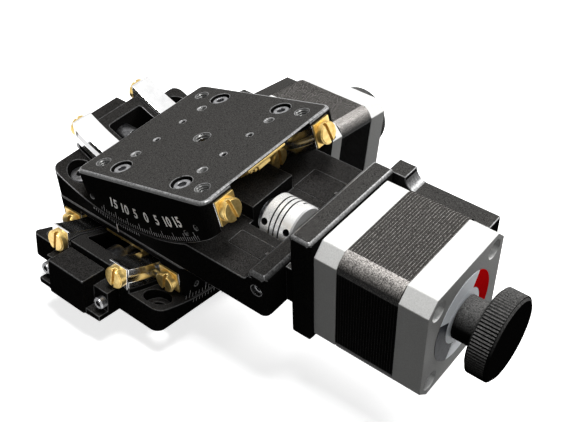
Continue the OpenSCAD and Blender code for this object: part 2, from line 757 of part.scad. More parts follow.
// Connector box beside the motor
module connector_box(r, x) drive_frame(r, x) {
    y0 = plate_w - plate_near + 0.15;
    y1 = y0 + box_t;
    fillet = ear_up - box_up;
    difference() {
        union() {
            box([-2.7, 3.8], [y0, y1], [-box_up, ear_up]);
            box([3, box_len], [y0, y1], [-box_up, box_up]);
            box([3, 3.8 + fillet], [y0, y1], [0, ear_up]);
        }
        translate([3.8 + fillet, 0, ear_up]) cyl_y(fillet, y0 - 1, y1 + 1, bore_fn);
        // Plug socket at the box's rear end
        box([box_len - socket_deep, box_len + 1], [y0 + socket_wall, y1 - socket_wall],
            [-socket_h / 2, socket_h / 2]);
    }
}
socket_deep = 9;
socket_wall = 0.9;
socket_h = 16;

// Motor section: a square with bevelled corners, extruded between two places
module motor_section(x0, x1, w, bevel)
{
    h = w / 2;
    b = h - bevel;
    translate([x0, 0, 0]) rotate([90, 0, 90]) linear_extrude(x1 - x0) polygon([
        [-b, -h], [b, -h], [h, -b], [h, b], [b, h], [-b, h], [-h, b], [-h, -b]
    ]);
}

// The motor's corners are cut no deeper than the wall round its screw holes allows
corner_wall = 0.4;
motor_hole_d = 3.3;
stack_w = motor_w - 0.3;
function corner_room(w) = (w - motor_screw_span) / sqrt(2) - motor_hole_d / 2 - corner_wall;
bell_bevel = min(motor_bevel, corner_room(motor_w) * sqrt(2));
stack_corner = min(stack_corner_r, corner_room(stack_w) / (sqrt(2) - 1));

module motor_front_bell(r, x) drive_frame(r, x) difference() {
    union() {
        motor_section(0.02, front_bell_t, motor_w, bell_bevel);
        cyl_x(spigot_d, -spigot_h, 1);
    }
    cyl_x(motor_shaft_d + 1, -spigot_h - 1, 2);
    cyl_x(motor_shaft_d + 2 * run_gap, 0, front_bell_t + 1);
    motor_screw_places() cyl_x(3.1, -1, front_bell_t + 1);
}

module motor_stack(r, x) drive_frame(r, x) difference() {
    h = stack_w / 2;
    rotate([90, 0, 90])
        post([-h, h], [-h, h], [front_bell_t + 0.02, front_bell_t + stack_len - 0.02], stack_corner);
    cyl_x(rotor_d + 0.5, front_bell_t - 1, front_bell_t + stack_len + 1);
    motor_screw_places() cyl_x(motor_hole_d, 0, front_bell_t + stack_len + 1);
}
rotor_d = 22;

module motor_rear_bell(r, x) drive_frame(r, x) {
    x0 = front_bell_t + stack_len;
    x1 = x0 + rear_bell_t;
    difference() {
        motor_section(x0, x1, motor_w, bell_bevel);
        cyl_x(motor_shaft_d + 2 * run_gap, x0 - 1, x1 + 1);
        motor_screw_places() {
            cyl_x(motor_hole_d, x0 - 1, x1 + 1);
            cyl_x(6.6, x1 - 4.2, x1 + 1);
        }
    }
}

module motor_screw_places() for (sy = [-1, 1], sz = [-1, 1])
    translate([0, sy * motor_screw_span / 2, sz * motor_screw_span / 2]) children();

// Long screws through the motor, and the short ones that hold it to its bracket
module motor_screws(r, x) drive_frame(r, x) motor_screw_places() {
    x1 = front_bell_t + stack_len + rear_bell_t - 4.2;
    translate([x1 + 0.02, 0, 0]) difference() {
        union() {
            cyl_x(5.6, 0, 2.2);
            cyl_x(2.9, -stack_len - 8, 0.1);
        }
        for (a = [0, 90]) rotate([a, 0, 0]) box([1.2, 3], [-0.4, 0.4], [-1.7, 1.7]);
    }
    translate([3.38 - plate_t, 0, 0]) rotate([0, -90, 0]) cap_screw(2.6, 8);
}

module motor_shaft(r, x, tilt) drive_frame(r, x) rotate([-tilt * teeth(r), 0, 0]) {
    length = front_bell_t + stack_len + rear_bell_t;
    cyl_x(motor_shaft_d, coupling_end(x) - x - 5, length + hub_len + 3);
    cyl_x(rotor_d, front_bell_t + 1.5, front_bell_t + stack_len - 1.5);
}

// Knob: a hub with a set screw and a knurled rim
module knob(r, x, tilt) drive_frame(r, x) rotate([-tilt * teeth(r), 0, 0]) {
    x0 = front_bell_t + stack_len + rear_bell_t + 0.4;
    x1 = x0 + hub_len;
    difference() {
        union() {
            cyl_x(hub_d, x0, x1 + 0.1);
            knurled_rim(x1, x1 + knob_t);
        }
        cyl_x(motor_shaft_d + 0.1, x0 - 1, x1 + 4);
        translate([x0 + hub_len * 0.5, 0, 0]) cylinder(d = 2.6, h = hub_d, $fn = 24);
    }
    translate([x0 + hub_len * 0.5, 0, motor_shaft_d / 2 + 0.1]) cylinder(d = 2.5, h = 4.5, $fn = 24);
}

module knurled_rim(x0, x1)
{
    rim = knob_d / 2;
    cut = rim - 0.45;
    bevel = 0.7;
    core = cut - 0.05;
    translate([x0 + bevel, 0, 0]) rotate([90, 0, 90]) linear_extrude(x1 - x0 - 2 * bevel) polygon([
        for (i = [0:2 * knurls - 1]) let(a = i * 180 / knurls, p = i % 2 == 0 ? rim : cut)
            [p * cos(a), p * sin(a)]
    ]);
    translate([x0, 0, 0]) rotate([0, 90, 0]) {
        cylinder(r1 = core - bevel, r2 = core, h = bevel, $fn = bore_fn);
        translate([0, 0, x1 - x0 - bevel]) cylinder(r1 = core, r2 = core - bevel, h = bevel, $fn = bore_fn);
    }
}

// Lower stage, fixed
module lower_base() color(black) lower_frame() stage_base(lower_r, lower_motor_x);
module lower_base_rails() color(steel) lower_frame() base_rails(lower_r);
module lower_rail_tabs() color(silver) lower_frame() rail_tabs(lower_r, fixed_rail_y);
module lower_rail_screws() color(brass) lower_frame() rail_screws(lower_r, fixed_rail_y);
module lower_bearing_block() color(steel) lower_frame() bearing_block(lower_r);
module lower_worm_bearings() color(steel) lower_frame() worm_bearings(lower_r, lower_motor_x);
module lower_limit_housing() color(black) lower_frame() limit_housing(lower_r);
module lower_base_fasteners() color(dark_steel) lower_frame() base_fasteners(lower_r, lower_motor_x, false);
module lower_motor_bracket() color(black) lower_frame() motor_bracket(lower_r, lower_motor_x);
module lower_connector_box() color(black) lower_frame() connector_box(lower_r, lower_motor_x);
module lower_motor_front_bell() color(silver) lower_frame() motor_front_bell(lower_r, lower_motor_x);
module lower_motor_stack() color(lamination) lower_frame() motor_stack(lower_r, lower_motor_x);
module lower_motor_rear_bell() color(silver) lower_frame() motor_rear_bell(lower_r, lower_motor_x);
module lower_motor_screws() color(steel) lower_frame() motor_screws(lower_r, lower_motor_x);

// Lower stage, turning with the worm and rolling with the guides
module lower_worm() color(steel) lower_frame() worm(lower_r, lower_motor_x, lower_tilt);
module lower_coupling() color(silver) lower_frame() coupling(lower_r, lower_motor_x, lower_tilt);
module lower_motor_shaft() color(steel) lower_frame() motor_shaft(lower_r, lower_motor_x, lower_tilt);
module lower_knob() color(black) lower_frame() knob(lower_r, lower_motor_x, lower_tilt);
module lower_roller_cages() color(brass) lower_tilted(0.5) roller_cages(lower_r, lower_rollers);
module lower_rollers() color(steel) lower_tilted(0.5) rollers(lower_r, lower_rollers);

// Lower stage, tilting
module lower_platform() color(black) lower_tilted() stage_platform(lower_r);
module lower_platform_rails() color(steel) lower_tilted() platform_rails(lower_r);
module lower_platform_tabs() color(brass) lower_tilted() rail_tabs(lower_r, moving_rail_y);
module lower_platform_screws() color(brass) lower_tilted() rail_screws(lower_r, moving_rail_y);
module lower_gear_segment() color(brass) lower_tilted() gear_segment(lower_r);
module lower_cap_screws() color(dark_steel) lower_tilted() cap_screws(lower_r);

// Upper stage, carried by the lower platform
module upper_base() color(black) upper_frame() stage_base(upper_r, upper_motor_x);
module upper_base_rails() color(steel) upper_frame() base_rails(upper_r);
module upper_rail_tabs() color(silver) upper_frame() rail_tabs(upper_r, fixed_rail_y);
module upper_rail_screws() color(brass) upper_frame() rail_screws(upper_r, fixed_rail_y);
module upper_bearing_block() color(steel) upper_frame() bearing_block(upper_r);
module upper_worm_bearings() color(steel) upper_frame() worm_bearings(upper_r, upper_motor_x);
module upper_limit_housing() color(black) upper_frame() limit_housing(upper_r);
module upper_base_fasteners() color(dark_steel) upper_frame() base_fasteners(upper_r, upper_motor_x, true);
module upper_motor_bracket() color(black) upper_frame() motor_bracket(upper_r, upper_motor_x);
module upper_connector_box() color(black) upper_frame() connector_box(upper_r, upper_motor_x);
module upper_motor_front_bell() color(silver) upper_frame() motor_front_bell(upper_r, upper_motor_x);
module upper_motor_stack() color(lamination) upper_frame() motor_stack(upper_r, upper_motor_x);
module upper_motor_rear_bell() color(silver) upper_frame() motor_rear_bell(upper_r, upper_motor_x);
module upper_motor_screws() color(steel) upper_frame() motor_screws(upper_r, upper_motor_x);

// Upper stage, turning with the worm and rolling with the guides
module upper_worm() color(steel) upper_frame() worm(upper_r, upper_motor_x, upper_tilt);
module upper_coupling() color(silver) upper_frame() coupling(upper_r, upper_motor_x, upper_tilt);
module upper_motor_shaft() color(steel) upper_frame() motor_shaft(upper_r, upper_motor_x, upper_tilt);
module upper_knob() color(black) upper_frame() knob(upper_r, upper_motor_x, upper_tilt);
module upper_roller_cages() color(brass) upper_tilted(0.5) roller_cages(upper_r, upper_rollers);
module upper_rollers() color(steel) upper_tilted(0.5) rollers(upper_r, upper_rollers);

// Upper stage, tilting
module upper_platform() color(black) upper_tilted() stage_platform(upper_r);
module upper_platform_rails() color(steel) upper_tilted() platform_rails(upper_r);
module upper_platform_tabs() color(brass) upper_tilted() rail_tabs(upper_r, moving_rail_y);
module upper_platform_screws() color(brass) upper_tilted() rail_screws(upper_r, moving_rail_y);
module upper_gear_segment() color(brass) upper_tilted() gear_segment(upper_r);
module upper_cap_screws() color(dark_steel) upper_tilted() cap_screws(upper_r);

lower_base();
lower_base_rails();
lower_rail_tabs();
lower_rail_screws();
lower_bearing_block();
lower_worm_bearings();
lower_limit_housing();
lower_base_fasteners();
lower_motor_bracket();
lower_connector_box();
lower_motor_front_bell();
lower_motor_stack();
lower_motor_rear_bell();
lower_motor_screws();
lower_worm();
lower_coupling();
lower_motor_shaft();
lower_knob();
lower_roller_cages();
lower_rollers();
lower_platform();
lower_platform_rails();
lower_platform_tabs();
lower_platform_screws();
lower_gear_segment();
lower_cap_screws();
upper_base();
upper_base_rails();
upper_rail_tabs();
upper_rail_screws();
upper_bearing_block();
upper_worm_bearings();
upper_limit_housing();
upper_base_fasteners();
upper_motor_bracket();
upper_connector_box();
upper_motor_front_bell();
upper_motor_stack();
upper_motor_rear_bell();
upper_motor_screws();
upper_worm();
upper_coupling();
upper_motor_shaft();
upper_knob();
upper_roller_cages();
upper_rollers();
upper_platform();
upper_platform_rails();
upper_platform_tabs();
upper_platform_screws();
upper_gear_segment();
upper_cap_screws();
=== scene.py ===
"""Looks of the two-axis motorised goniometer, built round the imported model.

Lengths are in metres and the frame is the model's own: origin under the common point, +X towards the
upper motor, +Y towards the lower motor, +Z up. Each stage's details are drawn in its own frame, whose
origin is the common point, with the motor towards +X and the arc axis along Y.
"""
import json
import math

import bmesh
import bpy
from mathutils import Matrix, Vector

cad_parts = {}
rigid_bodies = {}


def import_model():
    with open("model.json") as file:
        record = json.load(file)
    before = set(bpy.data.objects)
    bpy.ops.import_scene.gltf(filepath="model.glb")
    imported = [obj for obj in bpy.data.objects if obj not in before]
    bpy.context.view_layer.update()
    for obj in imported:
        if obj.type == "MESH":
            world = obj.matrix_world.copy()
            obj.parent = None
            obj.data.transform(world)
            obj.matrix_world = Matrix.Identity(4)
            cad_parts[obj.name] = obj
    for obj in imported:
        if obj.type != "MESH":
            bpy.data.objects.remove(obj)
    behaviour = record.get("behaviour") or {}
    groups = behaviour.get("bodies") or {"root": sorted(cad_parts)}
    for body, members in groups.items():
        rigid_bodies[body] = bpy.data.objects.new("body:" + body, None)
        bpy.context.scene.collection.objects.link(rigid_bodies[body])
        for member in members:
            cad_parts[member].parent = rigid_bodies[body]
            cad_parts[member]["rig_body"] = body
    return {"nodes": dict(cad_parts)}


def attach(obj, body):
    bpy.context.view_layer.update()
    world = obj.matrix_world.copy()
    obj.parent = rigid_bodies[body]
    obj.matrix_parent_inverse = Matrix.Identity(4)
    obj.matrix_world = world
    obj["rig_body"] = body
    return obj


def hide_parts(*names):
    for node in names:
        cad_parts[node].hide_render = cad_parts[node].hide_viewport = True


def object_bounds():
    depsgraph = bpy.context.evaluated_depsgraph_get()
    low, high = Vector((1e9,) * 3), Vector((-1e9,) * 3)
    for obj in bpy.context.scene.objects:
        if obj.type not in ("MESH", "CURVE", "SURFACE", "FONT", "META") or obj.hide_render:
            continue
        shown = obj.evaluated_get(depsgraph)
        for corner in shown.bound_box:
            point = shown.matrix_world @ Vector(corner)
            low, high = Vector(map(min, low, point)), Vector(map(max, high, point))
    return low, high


MM = 0.001

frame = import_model()
cad_low, cad_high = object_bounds()

# Driving sizes of the stages, in millimetres and degrees
UPPER_TILT = 15.5
LOWER_TILT = 9.4
UPPER_R = 50.0
STAGE_H = 25.0
LOWER_R = UPPER_R + STAGE_H
COMMON_H = LOWER_R + STAGE_H
HALF = 32.5
DRIVE_Y = -2.5
WORM_DEPTH = 14.5
LOWER_MOTOR_X = 73.5
UPPER_MOTOR_X = 79.8
PLATE_T = 8.0
PLATE_GAP = 3.8
BLOCK_T = 7.6
MOTOR_W = 42.3
STACK_W = MOTOR_W - 0.3
FRONT_BELL = 8.3
STACK = 21.4
REAR_BELL = 10.0


def turn(degrees, axis):
    return Matrix.Rotation(math.radians(degrees), 4, axis)


def shift(x, y, z):
    return Matrix.Translation(Vector((x, y, z)) * MM)


COMMON = shift(0, 0, COMMON_H)


class Stage:
    """Names, places and sizes of one stage."""

    def __init__(self, name, radius, motor_x, fixed, tilt, bodies):
        self.name = name
        self.radius = radius
        self.motor_x = motor_x
        self.fixed = fixed
        self.tilted = fixed @ turn(-tilt, "Y")
        self.fixed_body, self.moving_body, self.drive_body = bodies
        self.drive = fixed @ shift(0, DRIVE_Y, -(radius + WORM_DEPTH))
        self.motor = fixed @ shift(motor_x, DRIVE_Y, -(radius + WORM_DEPTH))
        self.block_start = motor_x - PLATE_T - PLATE_GAP - BLOCK_T


LOWER = Stage("lower", LOWER_R, LOWER_MOTOR_X, COMMON @ turn(90, "Z"), LOWER_TILT,
              ("stage_base", "lower_carriage", "lower_drive"))
UPPER = Stage("upper", UPPER_R, UPPER_MOTOR_X, COMMON @ turn(LOWER_TILT, "X"), UPPER_TILT,
              ("lower_carriage", "upper_carriage", "upper_drive"))
STAGES = (LOWER, UPPER)


# Materials

class Tree:
    """Short way to build a node tree."""

    def __init__(self, owner):
        owner.use_nodes = True
        self.tree = owner.node_tree
        self.tree.nodes.clear()

    def add(self, kind, **values):
        node = self.tree.nodes.new(kind)
        for key, value in values.items():
            setattr(node, key, value)
        return node

    def link(self, a, out, b, into):
        self.tree.links.new(a.outputs[out], b.inputs[into])

    def seen(self):
        """Node that gives 1 to camera, glossy and transmission rays, and 0 to others."""
        path = self.add("ShaderNodeLightPath")
        first = self.add("ShaderNodeMath", operation="MAXIMUM")
        both = self.add("ShaderNodeMath", operation="MAXIMUM")
        self.link(path, "Is Camera Ray", first, 0)
        self.link(path, "Is Glossy Ray", first, 1)
        self.link(first, 0, both, 0)
        self.link(path, "Is Transmission Ray", both, 1)
        return both


class Nodes(Tree):
    """Node tree of a material with one principled shader."""

    def __init__(self, name):
        self.material = bpy.data.materials.new(name)
        super().__init__(self.material)
        self.output = self.add("ShaderNodeOutputMaterial")
        self.shader = self.add("ShaderNodeBsdfPrincipled")
        self.link(self.shader, "BSDF", self.output, "Surface")

    def noise(self, scale, detail, roughness=0.6, stretch=(1, 1, 1)):
        """Noise in the object's own frame; scale is in features per metre."""
        where = self.add("ShaderNodeTexCoord")
        mapping = self.add("ShaderNodeMapping")
        mapping.inputs["Scale"].default_value = stretch
        texture = self.add("ShaderNodeTexNoise")
        texture.inputs["Scale"].default_value = scale
        texture.inputs["Detail"].default_value = detail
        texture.inputs["Roughness"].default_value = roughness
        self.link(where, "Object", mapping, "Vector")
        self.link(mapping, "Vector", texture, "Vector")
        return texture

    def ramp(self, source, out, low, high, at=(0.3, 0.7)):
        """Colour that runs from low to high as the source goes from at[0] to at[1]."""
        ramp = self.add("ShaderNodeValToRGB")
        for element, place, colour in zip(ramp.color_ramp.elements, at, (low, high)):
            element.position = place
            element.color = (*colour, 1)
        self.link(source, out, ramp, "Fac")
        return ramp

    def span(self, source, out, low, high, at=(0.3, 0.7)):
        """Number that runs from low to high as the source goes from at[0] to at[1]."""
        node = self.add("ShaderNodeMapRange")
        node.inputs["From Min"].default_value, node.inputs["From Max"].default_value = at
        node.inputs["To Min"].default_value = low
        node.inputs["To Max"].default_value = high
        self.link(source, out, node, "Value")
        return node

    def upward(self, side, top, where=(0.35, 0.9)):
        """Mix that shows one node on faces that stand, and the other on faces that look up: a painted shade
        on the sides against painted light on the tops.
        """
        face = self.add("ShaderNodeNewGeometry")
        part = self.add("ShaderNodeSeparateXYZ")
        self.link(face, "Normal", part, 0)
        mix = self.add("ShaderNodeMix", data_type="RGBA")
        self.link(self.span(part, "Z", 0.0, 1.0, where), 0, mix, 0)
        self.link(side, 0, mix, 6)
        self.link(top, 0, mix, 7)
        return mix

    def bump(self, source, out, depth):
        """Bump of that depth in millimetres."""
        node = self.add("ShaderNodeBump")
        node.inputs["Strength"].default_value = 1.0
        node.inputs["Distance"].default_value = depth * MM
        self.link(source, out, node, "Height")
        self.link(node, "Normal", self.shader, "Normal")


def metal(name, dark, light, rough, metallic=1.0, grain=900.0, fine=7000.0, depth=0.01,
          stretch=(1, 1, 1), specular=0.5, contrast=(0.3, 0.7), side_shade=1.0, slope=(0.35, 0.9)):
    """Material whose colour and roughness vary in patches, with a fine grain in the surface.

    Faces that stand upright take only a share of its colours, a painted shade on the sides against painted
    light on the tops. The slope gives the upward parts of a face's normal between which the colours grow to
    their full value.
    """
    n = Nodes(name)
    patches = n.noise(grain, 4.0)
    texture = n.noise(fine, 2.0, 0.5, stretch)
    colour = n.ramp(patches, "Fac", dark, light, contrast)
    if side_shade == 1.0:
        n.link(colour, "Color", n.shader, "Base Color")
    else:
        dim = n.ramp(patches, "Fac", [c * side_shade for c in dark], [c * side_shade for c in light], contrast)
        n.link(n.upward(dim, colour, slope), 2, n.shader, "Base Color")
    n.link(n.span(texture, "Fac", *rough), "Result", n.shader, "Roughness")
    n.shader.inputs["Metallic"].default_value = metallic
    n.shader.inputs["Specular IOR Level"].default_value = specular
    n.bump(texture, "Fac", depth)
    return n.material


# Black anodising whose upward faces are painted lighter than its sides: a painted top light in place of a
# sheen.
ANODISED = metal("black_anodised", (0.01, 0.01, 0.01), (0.088, 0.085, 0.081), (0.4, 0.54),
                 metallic=0.0, grain=3000.0, fine=4200.0, depth=0.01, specular=0.0, contrast=(0.32, 0.68),
                 side_shade=0.14)
# Grey for the bevels and the upward rounded edges of black pieces, nearly black where they stand upright: a
# painted highlight.
EDGE_HIGHLIGHT = metal("anodised_edge_highlight", (0.09, 0.09, 0.09), (0.4, 0.4, 0.4), (0.24, 0.36),
                  metallic=0.3, grain=1400.0, fine=6000.0, depth=0.004, specular=0.4, side_shade=0.1)
# Darker copy of the black anodising for the base, the limit housings and the shoulders, which lie below the
# platforms: a painted shade.
SHADED_BASE_BLACK = metal("black_anodised_base_shaded", (0.004, 0.004, 0.004), (0.05, 0.048, 0.046), (0.4, 0.54),
                   metallic=0.0, grain=3000.0, fine=4200.0, depth=0.01, specular=0.0, contrast=(0.34, 0.7),
                   side_shade=0.3)
# Dimmer grey for the bevels and upward rounded edges of the darker base pieces: a weaker painted highlight.
BASE_EDGE_HIGHLIGHT = metal("anodised_base_edge_highlight", (0.02, 0.02, 0.02), (0.13, 0.13, 0.13), (0.24, 0.36),
                  metallic=0.3, grain=1400.0, fine=6000.0, depth=0.004, specular=0.3, side_shade=0.2)
SLIT_SHADE = metal("slit_shadow", (0.01, 0.01, 0.01), (0.03, 0.03, 0.03), (0.5, 0.6), metallic=0.0,
                  grain=1400.0, depth=0.004, specular=0.05)
THREAD = metal("tapped_thread", (0.02, 0.02, 0.02), (0.16, 0.16, 0.155), (0.24, 0.38), metallic=0.6,
               grain=1600.0, fine=6000.0, depth=0.004)
RAIL = metal("polished_rail", (0.78, 0.78, 0.78), (0.86, 0.86, 0.86), (0.14, 0.22), stretch=(1, 8, 1),
             grain=300.0, fine=2500.0, depth=0.001)
STEEL = metal("bright_steel", (0.5, 0.51, 0.53), (0.7, 0.71, 0.73), (0.2, 0.34), fine=5000.0, depth=0.004)
BLACK_STEEL = metal("black_oxide_steel", (0.06, 0.06, 0.062), (0.2, 0.2, 0.205), (0.24, 0.4), depth=0.006)
SCREW_STEEL = metal("screw_head_steel", (0.2, 0.2, 0.205), (0.42, 0.42, 0.43), (0.22, 0.36), depth=0.005)
BRASS = metal("turned_brass", (0.56, 0.37, 0.1), (0.8, 0.6, 0.24), (0.28, 0.42), metallic=0.85, grain=700.0,
              fine=5000.0, depth=0.008)
# Pale cast bells whose upward faces are painted lighter than their sides: a painted top light.
CAST = metal("die_cast_bell", (0.68, 0.68, 0.66), (0.84, 0.84, 0.825), (0.5, 0.62), metallic=0.0,
             grain=2600.0, fine=3600.0, depth=0.006, specular=0.05, side_shade=0.4, slope=(0.2, 0.65))
SILVER = metal("turned_aluminium", (0.84, 0.84, 0.83), (0.88, 0.88, 0.87), (0.22, 0.34), metallic=0.35,
               grain=900.0, fine=6000.0, depth=0.003)
# Black knob whose upward faces are painted lighter than its sides: a painted top light.
KNOB_BLACK = metal("knob_black", (0.02, 0.02, 0.02), (0.16, 0.158, 0.154), (0.42, 0.56), metallic=0.0,
                   grain=2400.0, fine=5200.0, depth=0.008, specular=0.0, side_shade=0.05, slope=(0.1, 0.85))
MARK_WHITE = metal("engraved_white", (0.86, 0.86, 0.84), (0.94, 0.94, 0.92), (0.3, 0.4), metallic=0.0,
                   grain=1800.0, depth=0.002, specular=1.0)
TICK_GREY = metal("engraved_grey", (0.3, 0.3, 0.3), (0.62, 0.62, 0.61), (0.5, 0.62), metallic=0.0,
                  grain=2200.0, depth=0.004)
# Bare steel along the sheet ridges, light only on upward faces and nearly black on the sides: partly the
# steel's own colour, partly a painted highlight.
SHEET_RIDGE = metal("bare_sheet_edge", (0.03, 0.03, 0.03), (0.5, 0.48, 0.46), (0.4, 0.55), metallic=0.0,
                    grain=1800.0, fine=7000.0, depth=0.004, specular=0.02, contrast=(0.38, 0.6),
                    side_shade=0.01)
PAPER = metal("pale_film", (0.88, 0.92, 0.97), (0.93, 0.96, 1.0), (0.45, 0.55), metallic=0.0, grain=600.0,
              depth=0.002, specular=0.3)
PAPER_RED = metal("red_film", (0.9, 0.004, 0.006), (0.98, 0.006, 0.008), (0.45, 0.55), metallic=0.0,
                  grain=600.0, depth=0.002, specular=0.0)
PAPER_DARK = metal("dark_film", (0.015, 0.017, 0.022), (0.04, 0.042, 0.05), (0.45, 0.55), metallic=0.0,
                   grain=600.0, depth=0.002, specular=0.05)


def lamination():
    """Black varnished steel sheets with bare specks where the varnish is thin, painted lighter on upward
    faces than on the sides: a painted top light.
    """
    n = Nodes("laminated_stack")
    specks = n.noise(3400.0, 2.0, 0.7)
    top = n.ramp(specks, "Fac", (0.016, 0.015, 0.014), (0.1, 0.094, 0.088), (0.36, 0.7))
    side = n.ramp(specks, "Fac", (0.001, 0.001, 0.001), (0.01, 0.0095, 0.009), (0.4, 0.72))
    n.link(n.upward(side, top, (0.5, 0.95)), 2, n.shader, "Base Color")
    n.link(n.span(specks, "Fac", 0.5, 0.36), "Result", n.shader, "Roughness")
    n.shader.inputs["Metallic"].default_value = 0.0
    n.shader.inputs["Specular IOR Level"].default_value = 0.0
    n.bump(specks, "Fac", 0.01)
    return n.material


def ground_corner():
    """Corner of the stack, where the black is thin and the steel shows through, with a painted highlight on
    its upward faces that fades to a painted shade on the sides.
    """
    n = Nodes("stack_corner")
    specks = n.noise(2400.0, 3.0, 0.75)
    top = n.ramp(specks, "Fac", (0.06, 0.055, 0.052), (0.8, 0.76, 0.72), (0.36, 0.7))
    side = n.ramp(specks, "Fac", (0.004, 0.004, 0.004), (0.05, 0.046, 0.043), (0.45, 0.75))
    n.link(n.upward(side, top, (0.2, 0.9)), 2, n.shader, "Base Color")
    n.link(n.span(specks, "Fac", 0.42, 0.3), "Result", n.shader, "Roughness")
    n.shader.inputs["Metallic"].default_value = 0.1
    n.shader.inputs["Specular IOR Level"].default_value = 0.05
    n.bump(specks, "Fac", 0.015)
    return n.material


LAMINATION = lamination()
STACK_CORNER_HIGHLIGHT = ground_corner()

# Finish of each kind of node: main material, material of its edges, width of its edge bevels in
# millimetres, and the record's slot. A width of 0 keeps the node's own mesh.
FINISH = {
    "base": (SHADED_BASE_BLACK, BASE_EDGE_HIGHLIGHT, 0.3, "black_anodised"),
    "platform": (ANODISED, EDGE_HIGHLIGHT, 0.25, "black_anodised"),
    "limit_housing": (SHADED_BASE_BLACK, BASE_EDGE_HIGHLIGHT, 0.25, "black_anodised"),
    "motor_bracket": (ANODISED, EDGE_HIGHLIGHT, 0.3, "black_anodised"),
    "connector_box": (ANODISED, EDGE_HIGHLIGHT, 0.3, "black_anodised"),
    "base_rails": (RAIL, RAIL, 0.2, "rail_steel"),
    "platform_rails": (RAIL, RAIL, 0.2, "rail_steel"),
    "rail_tabs": (RAIL, RAIL, 0.12, "rail_steel"),
    "platform_tabs": (BRASS, BRASS, 0.12, "brass"),
    "rail_screws": (BRASS, BRASS, 0.15, "brass"),
    "platform_screws": (BRASS, BRASS, 0.15, "brass"),
    "bearing_block": (BLACK_STEEL, BLACK_STEEL, 0.2, "steel"),
    # The worm's bearings take the darker screw-head steel: a painted shade inside their housing.
    "worm_bearings": (SCREW_STEEL, SCREW_STEEL, 0.1, "steel"),
    "base_fasteners": (BLACK_STEEL, SCREW_STEEL, 0.12, "black_steel"),
    "cap_screws": (SCREW_STEEL, SCREW_STEEL, 0.12, "black_steel"),
    "motor_front_bell": (CAST, CAST, 0.3, "cast_silver"),
    "motor_rear_bell": (CAST, CAST, 0.3, "cast_silver"),
    "motor_stack": (LAMINATION, LAMINATION, 0.0, "black_lamination"),
    "motor_screws": (STEEL, STEEL, 0.15, "steel"),
    "worm": (STEEL, STEEL, 0.0, "steel"),
    "coupling": (SILVER, SILVER, 0.0, "silver_aluminium"),
    "motor_shaft": (STEEL, STEEL, 0.2, "steel"),
    "knob": (KNOB_BLACK, KNOB_BLACK, 0.12, "black_knob"),
    "roller_cages": (BRASS, BRASS, 0.0, "brass"),
    "rollers": (STEEL, STEEL, 0.12, "steel"),
    "gear_segment": (BRASS, BRASS, 0.12, "brass"),
}


# Angles in degrees: least one of an edge that gets a bevel, greatest one between faces that are joined
# before bevelling, and greatest one that is shaded as smooth, on most pieces, fine ones and couplings
BEVEL_ANGLE = 35.0
FLAT_ANGLE = 0.4
SMOOTH_ANGLE = 32.0
FINE_ANGLE = 20.0
COUPLING_ANGLE = 28.0


def settle(mesh, angle=SMOOTH_ANGLE):
    """Smooth shading with sharp edges kept above the angle."""
    for face in mesh.polygons:
        face.use_smooth = True
    mesh.set_sharp_from_angle(angle=math.radians(angle))


# Rounded upper edges that take the edge material as a painted highlight: the least and greatest upward share
# of their normals, for each kind of node, in the frame that it tilts with
HIGHLIGHT_ROUNDS = {
    "base": (0.25, 0.85),
    "platform": (0.25, 0.98),
    "motor_bracket": (0.25, 0.98),
    "connector_box": (0.25, 0.98),
    "limit_housing": (0.25, 0.98),
}


def polish_rounds(bm, node):
    """Gives the rounded upper edges of a black piece its edge material, a painted highlight."""
    prefix, kind = node.split("_", 1)
    if kind not in HIGHLIGHT_ROUNDS:
        return
    least, greatest = HIGHLIGHT_ROUNDS[kind]
    stage = LOWER if prefix == "lower" else UPPER
    up = (stage.tilted if kind == "platform" else stage.fixed).to_3x3() @ Vector((0, 0, 1))
    for face in bm.faces:
        if least < face.normal.dot(up) < greatest:
            face.material_index = 1


def bevelled_copy(node, main, edge, width):
    """Piece that stands for a CAD node: the same shape with its sharp edges broken."""
    source = frame["nodes"][node]
    bm = bmesh.new()
    bm.from_mesh(source.data)
    bmesh.ops.remove_doubles(bm, verts=bm.verts, dist=1e-6)
    bmesh.ops.dissolve_limit(bm, angle_limit=math.radians(FLAT_ANGLE), verts=bm.verts, edges=bm.edges)
    for face in bm.faces:
        face.material_index = 0
    least = math.radians(BEVEL_ANGLE)
    sharp = [e for e in bm.edges if len(e.link_faces) == 2 and e.calc_face_angle(0) > least]
    bmesh.ops.bevel(bm, geom=sharp, offset=width * MM, offset_type="OFFSET", segments=2, profile=0.5,
                    affect="EDGES", clamp_overlap=False, material=1, loop_slide=True)
    bmesh.ops.recalc_face_normals(bm, faces=bm.faces)
    polish_rounds(bm, node)
    mesh = bpy.data.meshes.new(node + "_finished")
    bm.to_mesh(mesh)
    bm.free()
    mesh.materials.append(main)
    mesh.materials.append(edge)
    settle(mesh)
    piece = bpy.data.objects.new(node + "_finished", mesh)
    bpy.context.scene.collection.objects.link(piece)
    weighted = piece.modifiers.new("even_shading", "WEIGHTED_NORMAL")
    weighted.keep_sharp = True
    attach(piece, source["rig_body"])
    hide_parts(node)


def dress_nodes():
    for node, source in frame["nodes"].items():
        main, edge, width, slot = FINISH[node.split("_", 1)[1]]
        if width > 0:
            bevelled_copy(node, main, edge, width)
        else:
            source.data.materials.clear()
            source.data.materials.append(main)


dress_nodes()


# Added details. Their lengths are in millimetres, in the frame of the stage, of its motor or of its drive.

